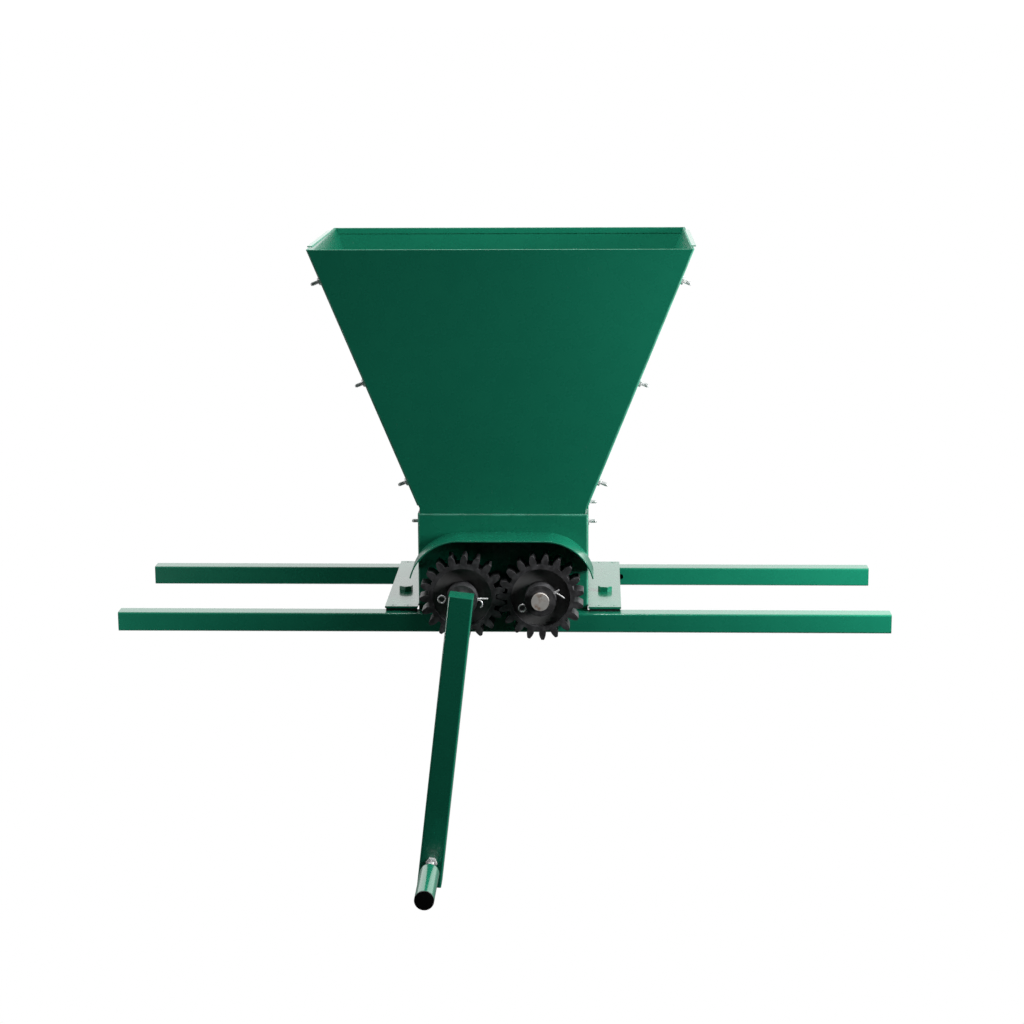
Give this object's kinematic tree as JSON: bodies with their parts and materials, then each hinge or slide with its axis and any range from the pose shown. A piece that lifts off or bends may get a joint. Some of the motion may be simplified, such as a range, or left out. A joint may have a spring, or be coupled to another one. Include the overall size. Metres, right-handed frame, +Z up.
{
  "type": "grape crusher",
  "caption": "Hand-cranked grape crusher: a flared sheet hopper over a box of geared fluted rollers, carried on long square rails across a vat.",
  "frame": {"origin": "midway between the two carrying rails, in the plane of their undersides, which rests on the vat's rim", "axes": "+X along the rails to the right seen from the crank side, +Y away from the crank side, +Z up"},
  "size_m": [0.8, 0.417, 0.6504],
  "materials": {
    "green_enamel": "gloss enamel",
    "zinc_plate": "bright zinc plate",
    "bush_bronze": "turned bronze",
    "black_cast_iron": "black paint on a rough casting",
    "cast_aluminium": "as cast",
    "bare_steel": "bare turned steel",
    "black_plastic": "matt"
  },
  "bodies": {
    "base": {"front_rail": "green_enamel", "rear_rail": "green_enamel", "front_plate": "green_enamel", "rear_plate": "green_enamel", "left_side_plate": "green_enamel", "right_side_plate": "green_enamel", "flange_screws": "green_enamel", "flange_bolts": "green_enamel", "flange_nuts": "green_enamel", "gear_hood": "green_enamel", "hopper_front_panel": "green_enamel", "hopper_rear_panel": "green_enamel", "hopper_left_panel": "green_enamel", "hopper_right_panel": "green_enamel", "hopper_bolts": "zinc_plate", "hopper_nuts": "zinc_plate", "box_bolts": "zinc_plate", "box_nuts": "zinc_plate", "left_front_bush": "bush_bronze", "right_front_bush": "bush_bronze", "left_rear_bush": "bush_bronze", "right_rear_bush": "bush_bronze", "flange_spacers": "black_plastic"},
    "drive_train": {"drive_shaft": "bare_steel", "drive_roller": "cast_aluminium", "drive_roller_screw": "zinc_plate", "drive_gear": "black_cast_iron", "drive_gear_pin": "zinc_plate", "crank_arm": "green_enamel", "handle_bolt": "zinc_plate", "handle_nuts": "zinc_plate"},
    "driven_train": {"driven_shaft": "bare_steel", "driven_roller": "cast_aluminium", "driven_roller_screw": "zinc_plate", "driven_gear": "black_cast_iron", "driven_gear_pin": "zinc_plate"},
    "handle": {"handle_tube": "green_enamel", "handle_plug": "black_plastic"}
  },
  "joints": [
    {"name": "crank_turn", "type": "hinge", "parent": "base", "child": "drive_train", "pos_m": [-0.04, -0.165, 0.043], "axis": [0, 1, 0], "continuous": true},
    {"name": "driven_turn", "type": "hinge", "parent": "base", "child": "driven_train", "pos_m": [0.04, -0.15, 0.043], "axis": [0, 1, 0], "continuous": true},
    {"name": "handle_spin", "type": "hinge", "parent": "drive_train", "child": "handle", "pos_m": [-0.0715, -0.24, -0.22516], "axis": [0, 1, 0], "continuous": true}
  ],
  "couplings": [
    {"joint": "driven_turn", "follows": "crank_turn", "ratio": -1}
  ]
}
